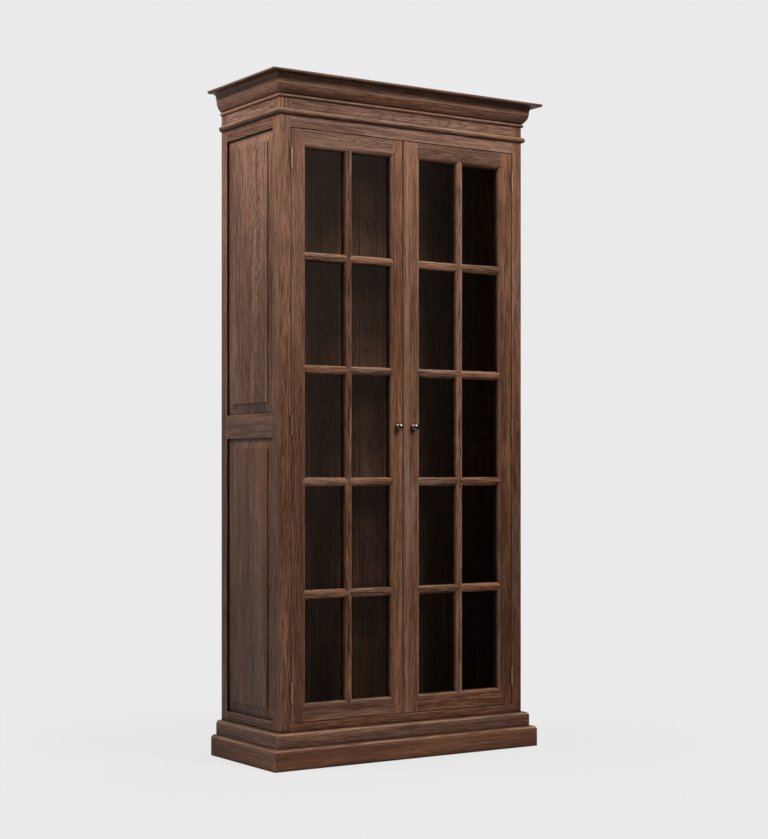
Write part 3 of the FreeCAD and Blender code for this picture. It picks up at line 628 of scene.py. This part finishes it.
def dressed(node, body, material, easing=None):
    """Adds the piece that stands for a node: its boards, each eased and given its own grain."""
    name = f"{node}_oak"
    oak = bpy.context.scene.bookcase_oak
    easing = oak.easing if easing is None else easing
    dice = random.Random(name)
    # the board's tone step: partly its own colour, partly painted light
    board_tone = sum(tone for word, tone in BOARD_TONES.items() if word in name)
    figure, corner_shade_share, wear_and_highlight_strength = next((work for word, work in WORKING.items() if word in name),
                                    PLAIN_WORKING)
    points, faces = [], []
    marks = {"grain": [], "half": [], "pith": [], "tone": [], "wear_and_highlight": []}
    work = welded(node)
    for group in boards_in(work):
        board = lift_out(group)
        middle, half, order = axes_by_length(board)
        thin = half[order[2]]
        eased = ease_arrises(board, min(easing, thin * EASING_OF_THICKNESS))
        pith = pith_of(name, half[order[1]], thin, dice)
        tone = dice.uniform(-0.5, 0.5) * oak.shade + board_tone
        start = len(points)
        board.verts.index_update()
        for vertex in board.verts:
            points.append(vertex.co.copy())
            local = vertex.co - middle
            marks["grain"].extend(local[i] for i in order)
            marks["half"].extend(half[i] for i in order)
            marks["pith"].extend(pith)
            marks["tone"].append(tone)
        for face in board.faces:
            faces.append([start + v.index for v in face.verts])
            # eased faces are worn bare; others get wear and a painted highlight by rounding and
            # rise
            bared_and_highlit = 1.0 if face in eased else wear_and_highlight_share(face)
            marks["wear_and_highlight"].append(min(1.0, bared_and_highlit * wear_and_highlight_strength))
        board.free()
    work.free()
    mesh = bpy.data.meshes.new(name)
    mesh.from_pydata(points, [], faces)
    for mark in ("grain", "half", "pith"):
        keep_marks(mesh, mark, "FLOAT_VECTOR", "POINT", marks[mark])
    keep_marks(mesh, "tone", "FLOAT", "POINT", marks["tone"])
    keep_marks(mesh, "figure", "FLOAT", "POINT", [figure] * len(points))
    keep_marks(mesh, "corner_shade_share", "FLOAT", "POINT", [corner_shade_share] * len(points))
    keep_marks(mesh, "wear_and_highlight", "FLOAT", "FACE", marks["wear_and_highlight"])
    mesh.polygons.foreach_set("use_smooth", [True] * len(mesh.polygons))
    mesh.set_sharp_from_angle(angle=math.radians(SMOOTH_ANGLE))
    mesh.update()
    piece = bpy.data.objects.new(name, mesh)
    bpy.context.scene.collection.objects.link(piece)
    mesh.materials.append(material)
    weighted = piece.modifiers.new("flat_faces_first", "WEIGHTED_NORMAL")
    weighted.keep_sharp = True
    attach(piece, body)
    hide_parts(node)


def finish_node(node, material):
    """Gives a packed solid its finish, and leaves its shape alone."""
    mesh_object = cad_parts[node]
    if not mesh_object.material_slots:
        mesh_object.data.materials.append(material)
    for place in mesh_object.material_slots:
        place.material = material


def oak_finish():
    return bpy.data.materials.get("brushed_oak") or oak_material("brushed_oak")


# ------------------------------------------------------------------ operators
class BOOKCASE_OT_frame_members(bpy.types.Operator):
    """Dress the corner posts and the rails between them"""
    bl_idname = "bookcase.frame_members"
    bl_label = "Posts and rails"

    def execute(self, context):
        for side in ("left", "right"):
            for end in ("front", "back"):
                dressed(f"{end}_{side}_post", "case", oak_finish())
            for level in ("top", "middle", "bottom"):
                dressed(f"{side}_{level}_rail", "case", oak_finish())
        for end in ("front", "back"):
            for level in ("top", "bottom"):
                dressed(f"{end}_{level}_rail", "case", oak_finish())
        return {"FINISHED"}


class BOOKCASE_OT_side_panels(bpy.types.Operator):
    """Dress the raised and fielded panels of both sides"""
    bl_idname = "bookcase.side_panels"
    bl_label = "Side panels"

    def execute(self, context):
        for side in ("left", "right"):
            for level in ("upper", "lower"):
                dressed(f"{side}_{level}_panel", "case", oak_finish(), easing=PANEL_EASING)
        return {"FINISHED"}


class BOOKCASE_OT_back_and_boards(bpy.types.Operator):
    """Dress the jointed back and the floor and ceiling boards"""
    bl_idname = "bookcase.back_and_boards"
    bl_label = "Back, floor and ceiling"

    def execute(self, context):
        # the back's painted corner shade comes only from its own boards
        inner_oak = oak_material("inner_oak", shade_from_own_boards=True)
        dressed("back_boards", "case", inner_oak, easing=FINE_EASING)
        for board in ("floor_board", "ceiling_board"):
            dressed(board, "case", oak_finish())
        return {"FINISHED"}


class BOOKCASE_OT_base(bpy.types.Operator):
    """Dress the plinth boards and the base moulding"""
    bl_idname = "bookcase.base"
    bl_label = "Base"

    def execute(self, context):
        for part in ("plinth", "base_moulding"):
            for side in ("front", "left", "right"):
                dressed(f"{part}_{side}", "case", oak_finish())
        return {"FINISHED"}


class BOOKCASE_OT_crown(bpy.types.Operator):
    """Dress the bead, the crown moulding and the top board"""
    bl_idname = "bookcase.crown"
    bl_label = "Bead, crown and top"

    def execute(self, context):
        for part in ("bead", "crown"):
            for side in ("front", "left", "right"):
                dressed(f"{part}_{side}", "case", oak_finish(), easing=FINE_EASING)
        dressed("top_board", "case", oak_finish())
        return {"FINISHED"}


class BOOKCASE_OT_door_frames(bpy.types.Operator):
    """Dress the stiles, rails, glazing bars and glazing stops of both doors"""
    bl_idname = "bookcase.door_frames"
    bl_label = "Door frames"

    def execute(self, context):
        for side in ("left", "right"):
            body = f"{side}_door"
            for part in ("hinge_stile", "meeting_stile", "top_rail", "bottom_rail",
                         "glazing_bars", "glazing_stops"):
                dressed(f"{body}_{part}", body, oak_finish(), easing=FINE_EASING)
        return {"FINISHED"}


class BOOKCASE_OT_panes(bpy.types.Operator):
    """Give the sheets in the doors and the shelves their clear glass"""
    bl_idname = "bookcase.panes"
    bl_label = "Glass"

    def execute(self, context):
        glass = context.scene.bookcase_glass
        sheet = pane_material("clear_pane", glass.tint)
        for node in ("left_door_glass", "right_door_glass"):
            finish_node(node, sheet)
        finish_node("shelves", pane_material("clear_shelf", glass.shelf_tint))
        return {"FINISHED"}


class BOOKCASE_OT_knobs(bpy.types.Operator):
    """Give both knobs their aged pewter"""
    bl_idname = "bookcase.knobs"
    bl_label = "Knobs"

    def execute(self, context):
        metal = context.scene.bookcase_metal
        pewter = metal_material("aged_pewter", metal.pewter, metal.pewter_patina,
                                film_share=0.40, roughness=0.11, making=POLISHED)
        for side in ("left", "right"):
            finish_node(f"{side}_door_knob", pewter)
        return {"FINISHED"}


class BOOKCASE_OT_hinges(bpy.types.Operator):
    """Give the butt hinges and their pins their aged brass"""
    bl_idname = "bookcase.hinges"
    bl_label = "Hinges"

    def execute(self, context):
        metal = context.scene.bookcase_metal
        brass = metal_material("aged_brass", metal.brass, metal.brass_tarnish,
                               film_share=0.50, roughness=0.38, making=DRAWN)
        for node in ("case_hinge_leaves", "hinge_pins", "left_door_hinge_leaves",
                     "right_door_hinge_leaves"):
            finish_node(node, brass)
        return {"FINISHED"}


class BOOKCASE_OT_fittings(bpy.types.Operator):
    """Give the catches, their plates and the shelf pins their finishes"""
    bl_idname = "bookcase.fittings"
    bl_label = "Catches and shelf pins"

    def execute(self, context):
        metal = context.scene.bookcase_metal
        steel_film = [v * STEEL_FILM for v in metal.steel]
        steel = metal_material("brushed_steel", metal.steel, steel_film,
                               film_share=0.20, roughness=0.30, making=BRUSHED)
        for node in ("shelf_pins", "left_door_catch_plate", "right_door_catch_plate"):
            finish_node(node, steel)
        finish_node("magnetic_catches", moulded_material("moulded_catch", metal.catch))
        return {"FINISHED"}


class BOOKCASE_OT_studio(bpy.types.Operator):
    """Set up the floor, the background, the lamps and the camera"""
    bl_idname = "bookcase.studio"
    bl_label = "Studio"

    def execute(self, context):
        studio = context.scene.bookcase_studio
        context.scene.view_settings.view_transform = "Standard"
        self.lay_floor(context, studio)
        self.light_world(context, studio)
        for name, lamp in LAMPS.items():
            self.hang_lamp(context, name, *lamp)
        self.place_camera(context, studio)
        return {"FINISHED"}

    def lay_floor(self, context, studio):
        """A pale floor that keeps the shadow and fades into the background."""
        ground = bmesh.new()
        bmesh.ops.create_grid(ground, x_segments=FLOOR_CELLS, y_segments=FLOOR_CELLS,
                              size=studio.floor_reach * FLOOR_SPARE)
        mesh = bpy.data.meshes.new("studio_floor")
        ground.to_mesh(mesh)
        ground.free()
        floor = bpy.data.objects.new("studio_floor", mesh)
        context.scene.collection.objects.link(floor)
        material, tree = blank_material("pale_floor")
        place = add(tree, "ShaderNodeTexCoord").outputs["Object"]
        away = add(tree, "ShaderNodeVectorMath", {0: place}, operation="LENGTH").outputs["Value"]
        speck = fractal(tree, place, (40.0, 40.0, 40.0), 3.0, 0.6)
        shade = blend_colour(tree, calc(tree, "MULTIPLY", speck, 0.04), opaque(studio.floor),
                             opaque([v * FLOOR_SPECK for v in studio.floor]))
        lit = add(tree, "ShaderNodeBsdfDiffuse", {"Color": shade})
        glow = add(tree, "ShaderNodeEmission", {"Color": opaque(studio.paper)})
        seen = add(tree, "ShaderNodeLightPath").outputs["Is Camera Ray"]
        seen = calc(tree, "MULTIPLY", seen, PAPER_ON_FLOOR)
        lit = add(tree, "ShaderNodeMixShader", {0: seen, 1: lit.outputs[0], 2: glow.outputs[0]})
        clear = add(tree, "ShaderNodeBsdfTransparent")
        near = step(tree, away, studio.floor_reach, studio.floor_reach * 0.25)
        surface = add(tree, "ShaderNodeMixShader", {0: near, 1: clear.outputs[0],
                                                    2: lit.outputs[0]})
        close_material(tree, surface.outputs[0])
        mesh.materials.append(material)

    def light_world(self, context, studio):
        """Even light from all round, the plain background, and the dim room in front of it.

        Gloss shows the background behind the bookcase, and in front the room where no lamp
        stands, which is a little brighter on its left side and towards its top.
        """
        world = bpy.data.worlds.new("studio_world")
        context.scene.world = world
        world.use_nodes = True
        tree = world.node_tree
        tree.nodes.clear()
        path = add(tree, "ShaderNodeLightPath")
        heading = add(tree, "ShaderNodeTexCoord").outputs["Generated"]
        rightward, backward, upward = split(tree, heading)
        seen = calc(tree, "MAXIMUM", path.outputs["Is Camera Ray"],
                    path.outputs["Is Transmission Ray"])
        glossed = path.outputs["Is Glossy Ray"]
        level = step(tree, upward, -0.25, 0.45, studio.bounce, studio.ambient)
        lamp = add(tree, "ShaderNodeBackground", {"Color": opaque(LAMP_TINT), "Strength": level})
        paper = add(tree, "ShaderNodeBackground", {"Color": opaque(studio.paper), "Strength": 1.0})
        side = calc(tree, "DIVIDE", rightward, calc(tree, "MAXIMUM", 0.05,
                                                    calc(tree, "MULTIPLY", backward, -1.0)))
        glow = calc(tree, "MULTIPLY", step(tree, side, 0.76, 0.58),
                    step(tree, upward, -0.22, 0.24, 0.12, 1.0))
        room = add(tree, "ShaderNodeBackground",
                   {"Color": opaque(ROOM_TINT),
                    "Strength": calc(tree, "MULTIPLY_ADD", glow, studio.glow, studio.dusk)})
        mirrored = add(tree, "ShaderNodeMixShader", {0: step(tree, backward, -0.30, 0.10),
                                                     1: room.outputs[0], 2: paper.outputs[0]})
        both = add(tree, "ShaderNodeMixShader", {0: glossed, 1: lamp.outputs[0],
                                                 2: mirrored.outputs[0]})
        shown = add(tree, "ShaderNodeMixShader", {0: seen, 1: both.outputs[0],
                                                  2: paper.outputs[0]})
        output = tree.nodes.new("ShaderNodeOutputWorld")
        tree.links.new(shown.outputs[0], output.inputs["Surface"])

    def hang_lamp(self, context, name, place, aim, width, height, power, shade, in_gloss):
        data = bpy.data.lights.new(name, "AREA")
        data.shape = "RECTANGLE"
        data.size, data.size_y, data.energy = width, height, power
        data.color = shade
        lamp = bpy.data.objects.new(name, data)
        lamp.location = place
        lamp.rotation_euler = (Vector(aim) - Vector(place)).to_track_quat("-Z", "Y").to_euler()
        context.scene.collection.objects.link(lamp)
        lamp.visible_camera = False
        lamp.visible_glossy = in_gloss

    def place_camera(self, context, studio):
        data = bpy.data.cameras.new("studio_camera")
        data.lens = studio.lens
        data.sensor_width = SENSOR_WIDTH
        data.shift_y = studio.rise
        data.clip_start, data.clip_end = CLIP_START, CLIP_END
        camera = bpy.data.objects.new("studio_camera", data)
        camera.location = studio.camera_place
        camera.rotation_euler = (math.pi / 2.0, 0.0, -studio.camera_turn)
        context.scene.collection.objects.link(camera)
        context.scene.camera = camera


OPERATORS = (BOOKCASE_OT_frame_members, BOOKCASE_OT_side_panels, BOOKCASE_OT_back_and_boards,
             BOOKCASE_OT_base, BOOKCASE_OT_crown, BOOKCASE_OT_door_frames, BOOKCASE_OT_panes,
             BOOKCASE_OT_knobs, BOOKCASE_OT_hinges, BOOKCASE_OT_fittings, BOOKCASE_OT_studio)


class BOOKCASE_PT_sidebar(bpy.types.Panel):
    """Sizes, colours and steps of the bookcase"""
    bl_idname = "BOOKCASE_PT_sidebar"
    bl_label = "Glazed oak bookcase"
    bl_space_type = "VIEW_3D"
    bl_region_type = "UI"
    bl_category = "Bookcase"

    def draw(self, context):
        for name, group in GROUPS.items():
            box = self.layout.box()
            box.label(text=group.__doc__)
            for prop in group.__annotations__:
                box.prop(getattr(context.scene, name), prop)
        for operator in OPERATORS:
            self.layout.operator(operator.bl_idname)


def register():
    for group in GROUPS.values():
        bpy.utils.register_class(group)
    for operator in OPERATORS:
        bpy.utils.register_class(operator)
    bpy.utils.register_class(BOOKCASE_PT_sidebar)
    for name, group in GROUPS.items():
        setattr(bpy.types.Scene, name, bpy.props.PointerProperty(type=group))


def unregister():
    for name in GROUPS:
        delattr(bpy.types.Scene, name)
    bpy.utils.unregister_class(BOOKCASE_PT_sidebar)
    for operator in reversed(OPERATORS):
        bpy.utils.unregister_class(operator)
    for group in reversed(list(GROUPS.values())):
        bpy.utils.unregister_class(group)


def main():
    register()
    bpy.ops.bookcase.frame_members()
    bpy.ops.bookcase.side_panels()
    bpy.ops.bookcase.back_and_boards()
    bpy.ops.bookcase.base()
    bpy.ops.bookcase.crown()
    bpy.ops.bookcase.door_frames()
    bpy.ops.bookcase.panes()
    bpy.ops.bookcase.knobs()
    bpy.ops.bookcase.hinges()
    bpy.ops.bookcase.fittings()
    bpy.ops.bookcase.studio()


if __name__ == "__main__":
    main()
